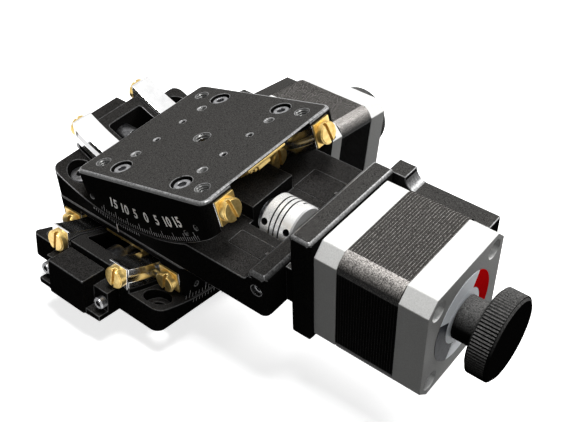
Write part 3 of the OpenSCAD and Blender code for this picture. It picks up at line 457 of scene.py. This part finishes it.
def add_piece(name, bm, materials, body, matrix=None, angle=SMOOTH_ANGLE):
    """Turns a bmesh in millimetres, drawn in the frame of the matrix, into a piece that rides on a body."""
    bmesh.ops.recalc_face_normals(bm, faces=bm.faces)
    bmesh.ops.transform(bm, matrix=(matrix or Matrix.Identity(4)) @ Matrix.Scale(MM, 4), verts=bm.verts)
    mesh = bpy.data.meshes.new(name)
    bm.to_mesh(mesh)
    bm.free()
    for material in materials:
        mesh.materials.append(material)
    settle(mesh, angle)
    piece = bpy.data.objects.new(name, mesh)
    bpy.context.scene.collection.objects.link(piece)
    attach(piece, body)
    return piece


def add_block(bm, low, high, matrix=None):
    """Box between two corners, in the frame of the matrix."""
    made = bmesh.ops.create_cube(bm, size=1.0)["verts"]
    size = [b - a for a, b in zip(low, high)]
    middle = [(b + a) / 2 for a, b in zip(low, high)]
    place = Matrix.Translation(middle) @ Matrix.Diagonal((*size, 1))
    bmesh.ops.transform(bm, matrix=(matrix or Matrix.Identity(4)) @ place, verts=made)


def revolve(bm, profile, steps, matrix):
    """Closed ring about Z, in the frame of the matrix, from a closed profile of (radius, height) points."""
    rings = []
    for i in range(steps):
        a = 2 * math.pi * i / steps
        rings.append([bm.verts.new((r * math.cos(a), r * math.sin(a), z)) for r, z in profile])
    count = len(profile)
    for i in range(steps):
        here, there = rings[i], rings[(i + 1) % steps]
        for k in range(count):
            n = (k + 1) % count
            bm.faces.new((here[k], there[k], there[n], here[n]))
    bmesh.ops.transform(bm, matrix=matrix, verts=[v for ring in rings for v in ring])


# Threaded holes in the platform's top: hole radius, thread pitch, depths below the top at which the thread
# ends and starts, and the places
THREADS = (
    (2.5, 0.8, 5.4, 0.3, [(sx * 25, sy * 25) for sx in (-1, 1) for sy in (-1, 1)]),
    (1.3, 0.5, 4.8, 0.45, [(sx * 16.8, sy * 16.8) for sx in (-1, 1) for sy in (-1, 1)]),
    (3.0, 1.0, 7.6, 0.3, [(0, 0)]),
)
# Depth of a thread as a share of its pitch, gap behind its lining, and thickness of the lining's roots
THREAD_DEPTH = 0.55
LINING_GAP = 0.01
ROOT_T = 0.06
ROOT_STEP = 0.02


def thread_profile(hole_r, pitch, length):
    """Section of a thread lining: a plain back and a row of V crests, from z = 0 down."""
    turns = int(length / pitch)
    back, root, crest = hole_r - LINING_GAP, hole_r - ROOT_T, hole_r - THREAD_DEPTH * pitch
    points = [(back, -turns * pitch), (back, 0)]
    for i in range(turns):
        points.append((root, -i * pitch - ROOT_STEP))
        points.append((crest, -(i + 0.5) * pitch))
    points.append((root, -turns * pitch + ROOT_STEP))
    return points


def add_threads(stage):
    bm = bmesh.new()
    for hole_r, pitch, end, top, places in THREADS:
        profile = thread_profile(hole_r, pitch, end - top)
        for x, y in places:
            revolve(bm, profile, 40, Matrix.Translation((x, y, -stage.radius - top)))
    add_piece(stage.name + "_platform_threads", bm, [THREAD], stage.moving_body,
              stage.tilted, FINE_ANGLE)


# Scale on the cheek. Distances below the platform's top: middle of the numerals, top of a long and of a
# short mark with their foot, and both ends of the vernier's marks and of the index line
LABEL_R = 12.7
TICK_R = (16.7, 18.2, 19.7)
VERNIER_R = (21.4, 22.6)
INDEX_R = (22.6, 26.4)
# Degrees: last mark, last numeral, numerals' step, and step of the vernier, which has ten marks each way
TICK_LAST = 21
LABEL_LAST = 15
LABEL_STEP = 5
VERNIER_STEP = 0.9
# Height of the numerals and that height's share of the font size, share of their width that is kept, and
# how much their strokes are widened
LABEL_H = 3.9
CAP_SHARE = 0.72
LABEL_SQUEEZE = 0.78
LABEL_BOLD = 0.13
# How far marks stand proud of the face and reach into it, and their widths
MARK_PROUD = 0.03
MARK_SUNK = 0.02
MARK_W = 0.16
INDEX_W = 0.45


def radial_mark(bm, radius, y, degrees, inner, outer, width=MARK_W):
    """Thin mark along a radius of the arc on the face at y, which looks towards -Y."""
    place = turn(-degrees, "Y") @ Matrix.Translation((0, y, -radius))
    add_block(bm, (-width / 2, -MARK_PROUD, -outer), (width / 2, MARK_SUNK, -inner), place)


def add_scale(stage):
    ticks = bmesh.new()
    for degrees in range(-TICK_LAST, TICK_LAST + 1):
        inner = TICK_R[0] if degrees % LABEL_STEP == 0 else TICK_R[1]
        radial_mark(ticks, stage.radius, -HALF, degrees, inner, TICK_R[2])
    add_piece(stage.name + "_scale_ticks", ticks, [TICK_GREY], stage.moving_body,
              stage.tilted)
    vernier = bmesh.new()
    for i in range(-10, 11):
        radial_mark(vernier, stage.radius, -HALF, i * VERNIER_STEP, *VERNIER_R)
    add_piece(stage.name + "_vernier_ticks", vernier, [TICK_GREY], stage.fixed_body,
              stage.fixed)
    index = bmesh.new()
    radial_mark(index, stage.radius, -HALF, 0, *INDEX_R, INDEX_W)
    add_piece(stage.name + "_index_line", index, [MARK_WHITE], stage.fixed_body,
              stage.fixed)
    for degrees in range(-LABEL_LAST, LABEL_LAST + 1, LABEL_STEP):
        place = (stage.tilted @ turn(-degrees, "Y")
                 @ shift(0, -HALF - MARK_PROUD / 2, -(stage.radius + LABEL_R)) @ turn(90, "X"))
        name = f"{stage.name}_scale_{degrees + LABEL_LAST:02d}"
        add_label(name, str(abs(degrees)), place, stage.moving_body)


def applied(maker):
    """New mesh of an object with its modifiers applied."""
    bpy.context.view_layer.update()
    return bpy.data.meshes.new_from_object(maker.evaluated_get(bpy.context.evaluated_depsgraph_get()))


def add_label(name, numeral, place, body):
    curve = bpy.data.curves.new(name, "FONT")
    curve.body = numeral
    curve.size = LABEL_H / CAP_SHARE * MM
    curve.align_x = "CENTER"
    curve.align_y = "CENTER"
    curve.extrude = MARK_PROUD / 2 * MM
    curve.offset = LABEL_BOLD * MM
    maker = bpy.data.objects.new(name + "_maker", curve)
    bpy.context.scene.collection.objects.link(maker)
    mesh = applied(maker)
    bpy.data.objects.remove(maker)
    mesh.transform(place @ Matrix.Diagonal((LABEL_SQUEEZE, 1, 1, 1)))
    mesh.materials.clear()
    mesh.materials.append(MARK_WHITE)
    piece = bpy.data.objects.new(name, mesh)
    bpy.context.scene.collection.objects.link(piece)
    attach(piece, body)


# Motor stack: bands of pressed sheets, each with a thin ridge that stands proud at its end
SHEET_PITCH = 0.95
RIDGE_SHARE = 0.14
RIDGE_PROUD = 0.04
RIDGE_RISE = 0.03
STACK_GAP = 0.02
STACK_ROUND = 5.6
ROTOR_BORE = 11.25
# Horizontal direction from the camera's side to the far side
AWAY = Vector((-1, 1, 0))


def stack_outline(half, radius, steps=7):
    """Points of a rounded square and whether the edge that starts at each lies in a corner."""
    points = []
    for quarter in range(4):
        a0 = quarter * math.pi / 2
        cy = (half - radius) * (1 if quarter in (0, 3) else -1)
        cz = (half - radius) * (1 if quarter in (0, 1) else -1)
        for i in range(steps + 1):
            a = a0 + i * math.pi / 2 / steps
            points.append((cy + radius * math.cos(a), cz + radius * math.sin(a), i < steps))
    return points


def add_stack(stage):
    bm = bmesh.new()
    half = STACK_W / 2
    x0, x1 = FRONT_BELL + STACK_GAP, FRONT_BELL + STACK - STACK_GAP
    bands = round((x1 - x0) / SHEET_PITCH)
    pitch = (x1 - x0) / bands
    outer, rings = [], []
    for i in range(bands):
        a, b = x0 + i * pitch, x0 + (i + 1) * pitch
        ridge = b - RIDGE_SHARE * pitch
        outer += [(a, -RIDGE_PROUD, 0), (ridge - RIDGE_RISE, -RIDGE_PROUD, 2),
                  (ridge, 0, 2), (b - RIDGE_RISE, 0, 0)]
    outer.append((x1, -RIDGE_PROUD, 0))
    for x, grow, _ in outer:
        rings.append([bm.verts.new((x, y, z)) for y, z, _ in stack_outline(half + grow, STACK_ROUND)])
    # Only the corners on the camera's side take the corner material with its painted highlight
    far = (stage.motor.to_3x3() @ Vector((0, 1, 0))).dot(AWAY) > 0
    corner = [c and (y < 0) == far for y, _, c in stack_outline(half, STACK_ROUND)]
    count = len(corner)
    for (_, _, kind), here, there in zip(outer, rings, rings[1:]):
        for k in range(count):
            n = (k + 1) % count
            face = bm.faces.new((here[k], here[n], there[n], there[k]))
            face.material_index = 1 if corner[k] else kind
    ends = []
    for x, ring in ((x0, rings[0]), (x1, rings[-1])):
        inner = []
        for v in ring:
            length = math.hypot(v.co.y, v.co.z)
            inner.append(bm.verts.new((x, v.co.y / length * ROTOR_BORE, v.co.z / length * ROTOR_BORE)))
        for k in range(count):
            n = (k + 1) % count
            bm.faces.new((ring[k], ring[n], inner[n], inner[k]))
        ends.append(inner)
    for k in range(count):
        n = (k + 1) % count
        bm.faces.new((ends[0][k], ends[0][n], ends[1][n], ends[1][k]))
    piece = add_piece(stage.name + "_stack_sheets", bm, [LAMINATION, STACK_CORNER_HIGHLIGHT, SHEET_RIDGE],
                      stage.fixed_body, stage.motor, FINE_ANGLE)
    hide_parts(stage.name + "_motor_stack")


# Coupling: a turned sleeve with one helical slit through its wall
COUPLING_R = 9.0
COUPLING_LEN = 12.5
SLIT_PITCH = 1.9
SLIT_W = 0.55
SLIT_TURNS = 3.2
SLIT_FLOOR = 4.6
CHAMFER = 0.5
SHAFT_BORE = 2.55
# Gap between the sleeve and the bearing's block, and how far the slit's cutter reaches past the sleeve
SLEEVE_GAP = 0.4
SLIT_OVER = 0.6
# Screw holes: radius, length, distance of the cutter's middle from the axis, distance from the sleeve's
# end, and turn about the axis
SCREW_HOLE_R = 1.25
SCREW_HOLE_LEN = 8.0
SCREW_HOLE_MID = 7.2
SCREW_HOLE_X = 1.7
SCREW_HOLE_TURN = turn(60, "X")


def helix_ribbon(bm, x0, turns, pitch, width, r0, r1, steps):
    """Closed ribbon that winds about X, from radius r0 to r1."""
    rings = []
    total = int(turns * steps)
    for i in range(total + 1):
        a = 2 * math.pi * i / steps
        x = x0 + pitch * i / steps
        corners = ((x - width / 2, r0), (x + width / 2, r0), (x + width / 2, r1), (x - width / 2, r1))
        rings.append([bm.verts.new((u, r * math.cos(a), r * math.sin(a))) for u, r in corners])
    for here, there in zip(rings, rings[1:]):
        for k in range(4):
            n = (k + 1) % 4
            bm.faces.new((here[k], here[n], there[n], there[k]))
    bm.faces.new(rings[0])
    bm.faces.new(reversed(rings[-1]))
    bmesh.ops.recalc_face_normals(bm, faces=bm.faces)


def cut(piece, cutters):
    """Cuts closed meshes out of a piece and applies the result."""
    for i, bm in enumerate(cutters):
        mesh = bpy.data.meshes.new(f"{piece.name}_cutter_{i}")
        bm.to_mesh(mesh)
        bm.free()
        # Faces left by the cutter take a near-black painted shade.
        mesh.materials.append(SLIT_SHADE)
        cutter = bpy.data.objects.new(mesh.name, mesh)
        bpy.context.scene.collection.objects.link(cutter)
        boolean = piece.modifiers.new("cut", "BOOLEAN")
        boolean.operation = "DIFFERENCE"
        boolean.solver = "EXACT"
        boolean.material_mode = "TRANSFER"
        boolean.object = cutter
        result = applied(piece)
        piece.modifiers.clear()
        piece.data = result
        bpy.data.objects.remove(cutter)


def add_coupling(stage):
    x1 = stage.block_start - SLEEVE_GAP
    x0 = x1 - COUPLING_LEN
    profile = [(SHAFT_BORE, 0), (COUPLING_R - CHAMFER, 0), (COUPLING_R, CHAMFER),
               (COUPLING_R, COUPLING_LEN - CHAMFER), (COUPLING_R - CHAMFER, COUPLING_LEN),
               (SHAFT_BORE, COUPLING_LEN)]
    bm = bmesh.new()
    revolve(bm, profile, 96, Matrix.Translation((x0, 0, 0)) @ turn(90, "Y"))
    piece = add_piece(stage.name + "_coupling_sleeve", bm, [SILVER], stage.drive_body)
    slit = bmesh.new()
    start = (x0 + x1) / 2 - SLIT_PITCH * SLIT_TURNS / 2
    helix_ribbon(slit, start, SLIT_TURNS, SLIT_PITCH, SLIT_W, SLIT_FLOOR, COUPLING_R + SLIT_OVER, 48)
    holes = bmesh.new()
    for x in (x0 + SCREW_HOLE_X, x1 - SCREW_HOLE_X):
        made = bmesh.ops.create_cone(holes, cap_ends=True, segments=28, radius1=SCREW_HOLE_R,
                                     radius2=SCREW_HOLE_R, depth=SCREW_HOLE_LEN)
        bmesh.ops.transform(holes, matrix=Matrix.Translation((x, 0, 0)) @ SCREW_HOLE_TURN
                            @ Matrix.Translation((0, 0, SCREW_HOLE_MID)), verts=made["verts"])
    for cutter in (slit, holes):
        bmesh.ops.transform(cutter, matrix=Matrix.Scale(MM, 4), verts=cutter.verts)
    cut(piece, (slit, holes))
    piece.data.transform(stage.drive)
    settle(piece.data, COUPLING_ANGLE)
    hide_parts(stage.name + "_coupling")


# Shoulders beside the coupling, solid up to the top of the side walls
WALL_T = 9.5
WALL_DEPTH = 12.0
FLOOR_T = 3.0
BAY_HALF = 9.8
BAY_RIB = 4.0
BAY_LEN = 15.7
BAY_SEAT = 0.02


def add_shoulders(stage):
    bm = bmesh.new()
    x = (stage.block_start - BAY_LEN + BAY_SEAT, stage.block_start - BAY_SEAT)
    z = (-(stage.radius + STAGE_H - FLOOR_T - BAY_SEAT), -(stage.radius + WALL_DEPTH + BAY_SEAT))
    near = (WALL_T - HALF + BAY_SEAT, DRIVE_Y - BAY_HALF - BAY_RIB - BAY_SEAT)
    far = (DRIVE_Y + BAY_HALF + BAY_RIB + BAY_SEAT, HALF - WALL_T - BAY_SEAT)
    for y in (near, far):
        add_block(bm, (x[0], y[0], z[0]), (x[1], y[1], z[1]))
    add_piece(stage.name + "_shoulders", bm, [SHADED_BASE_BLACK], stage.fixed_body, stage.fixed)


# Label on the motor's rear: a bare disc with plain bands of colour round a pale middle
DISC_R = 15.4
DISC_T = 0.12
DISC_GAP = 0.01
BAND_R = 9.6
MIDDLE_R = (4.0, 9.4)
# Ends of each band in degrees, and its material: 0 is pale, 1 red and 2 dark
BANDS = ((-28, 62, 1), (62, 152, 0), (152, 242, 2), (242, 332, 0))
BAND_GAP = 0.4


def sector(bm, r0, r1, x0, x1, a0, a1, steps, material):
    """Closed ring sector about X."""
    rings = []
    for i in range(steps + 1):
        a = math.radians(a0 + (a1 - a0) * i / steps)
        corners = ((x0, r0), (x1, r0), (x1, r1), (x0, r1))
        rings.append([bm.verts.new((x, r * math.cos(a), r * math.sin(a))) for x, r in corners])
    for here, there in zip(rings, rings[1:]):
        for k in range(4):
            n = (k + 1) % 4
            bm.faces.new((here[k], here[n], there[n], there[k])).material_index = material
    bm.faces.new(rings[0]).material_index = material
    bm.faces.new(reversed(rings[-1])).material_index = material


def add_label_disc(stage):
    rear = FRONT_BELL + STACK + REAR_BELL
    x0, x1 = rear + DISC_GAP, rear + DISC_T
    bm = bmesh.new()
    for a0, a1, material in BANDS:
        sector(bm, BAND_R, DISC_R, x0, x1, a0 + BAND_GAP, a1 - BAND_GAP, 24, material)
    for a0 in (0, 180):
        sector(bm, *MIDDLE_R, x0, x1, a0, a0 + 180, 32, 0)
    add_piece(stage.name + "_rear_disc", bm, [PAPER, PAPER_RED, PAPER_DARK], stage.fixed_body,
              stage.motor, FINE_ANGLE)


for stage in STAGES:
    add_threads(stage)
    add_scale(stage)
    add_stack(stage)
    add_coupling(stage)
    add_shoulders(stage)
    add_label_disc(stage)


# Camera, floor and light

# The photo's width and the focal length in pixels, the sensor's width in millimetres, and the camera's place
PHOTO_W = 570.0
SENSOR = 36.0
FOCAL_PX = 902.31
EYE = Vector((0.19444, -0.19259, 0.21062))
FORWARD = Vector((-0.478, 0.6692, -0.5689))
RIGHT = Vector((0.7783, 0.6230, 0.0789))

# Floor: half its side, its gap below the part, its own light near the part and far off, with the distances
# from and to which it grows, and the grey that its bounced light has
FLOOR_SIZE = 6.0
FLOOR_GAP = 0.0005
FLOOR_LIGHT = (0.75, 1.0)
FLOOR_REACH = (0.25, 1.2)
FLOOR_DIM = (0.12, 0.12, 0.12, 1)
WHITE = (1, 1, 1, 1)
WORLD_LIGHT = 0.06

# Lamps: name, direction from the point that they aim at, distance, diameter and power
AIM = Vector((0.02, 0.02, 0.03))
LAMPS = (
    ("overhead", (0.05, -0.05, 1.0), 0.9, 0.4, 8.5),
    ("back", (0.3, 0.67, 0.7), 0.9, 0.3, 5.0),
    ("front", (0.6, -0.9, 0.35), 1.1, 0.5, 1.2),
)


def add_camera():
    data = bpy.data.cameras.new("camera")
    data.sensor_fit = "HORIZONTAL"
    data.sensor_width = SENSOR
    data.lens = FOCAL_PX / PHOTO_W * SENSOR
    data.clip_start = 0.01
    data.clip_end = 20.0
    camera = bpy.data.objects.new("camera", data)
    back = -FORWARD.normalized()
    right = (RIGHT - back * RIGHT.dot(back)).normalized()
    up = back.cross(right)
    camera.matrix_world = Matrix.Translation(EYE) @ Matrix((right, up, back)).transposed().to_4x4()
    bpy.context.scene.collection.objects.link(camera)
    bpy.context.scene.camera = camera


def floor_material():
    """Pale to the camera and in reflections, darker to the light that bounces off it."""
    n = Nodes("floor")
    n.tree.nodes.remove(n.shader)
    patches = n.noise(14.0, 2.0)
    pale = n.add("ShaderNodeBsdfDiffuse")
    n.link(n.ramp(patches, "Fac", (0.9, 0.9, 0.9), (0.93, 0.93, 0.93)), "Color", pale, "Color")
    lift = n.add("ShaderNodeEmission")
    lift.inputs["Color"].default_value = WHITE
    distance = n.add("ShaderNodeVectorMath", operation="LENGTH")
    n.link(n.add("ShaderNodeTexCoord"), "Object", distance, 0)
    n.link(n.span(distance, "Value", *FLOOR_LIGHT, FLOOR_REACH), 0, lift, "Strength")
    shown = n.add("ShaderNodeAddShader")
    n.link(pale, 0, shown, 0)
    n.link(lift, 0, shown, 1)
    dim = n.add("ShaderNodeBsdfDiffuse")
    dim.inputs["Color"].default_value = FLOOR_DIM
    mix = n.add("ShaderNodeMixShader")
    n.link(n.seen(), 0, mix, 0)
    n.link(dim, 0, mix, 1)
    n.link(shown, 0, mix, 2)
    n.link(mix, 0, n.output, "Surface")
    return n.material


def add_floor():
    mesh = bpy.data.meshes.new("floor")
    size, z = FLOOR_SIZE, cad_low.z - FLOOR_GAP
    corners = [(-size, -size, z), (size, -size, z), (size, size, z), (-size, size, z)]
    mesh.from_pydata(corners, [], [(0, 1, 2, 3)])
    mesh.materials.append(floor_material())
    floor = bpy.data.objects.new("floor", mesh)
    bpy.context.scene.collection.objects.link(floor)


def add_lamp(name, towards, distance, size, power):
    data = bpy.data.lights.new(name, "AREA")
    data.shape = "DISK"
    data.size = size
    data.energy = power
    lamp = bpy.data.objects.new(name, data)
    direction = Vector(towards).normalized()
    lamp.location = AIM + direction * distance
    lamp.rotation_mode = "QUATERNION"
    lamp.rotation_quaternion = direction.to_track_quat("Z", "Y")
    bpy.context.scene.collection.objects.link(lamp)


def add_world():
    """Even grey light; white where the camera, a reflection or a see-through piece shows it."""
    world = bpy.data.worlds.new("studio")
    bpy.context.scene.world = world
    n = Tree(world)
    light = n.add("ShaderNodeBackground")
    light.inputs["Color"].default_value = WHITE
    light.inputs["Strength"].default_value = WORLD_LIGHT
    white = n.add("ShaderNodeBackground")
    white.inputs["Color"].default_value = WHITE
    white.inputs["Strength"].default_value = 1.0
    mix = n.add("ShaderNodeMixShader")
    n.link(n.seen(), 0, mix, 0)
    n.link(light, 0, mix, 1)
    n.link(white, 0, mix, 2)
    n.link(mix, 0, n.add("ShaderNodeOutputWorld"), "Surface")


add_camera()
add_floor()
add_world()
for lamp in LAMPS:
    add_lamp(*lamp)

bpy.context.scene.view_settings.view_transform = "Standard"
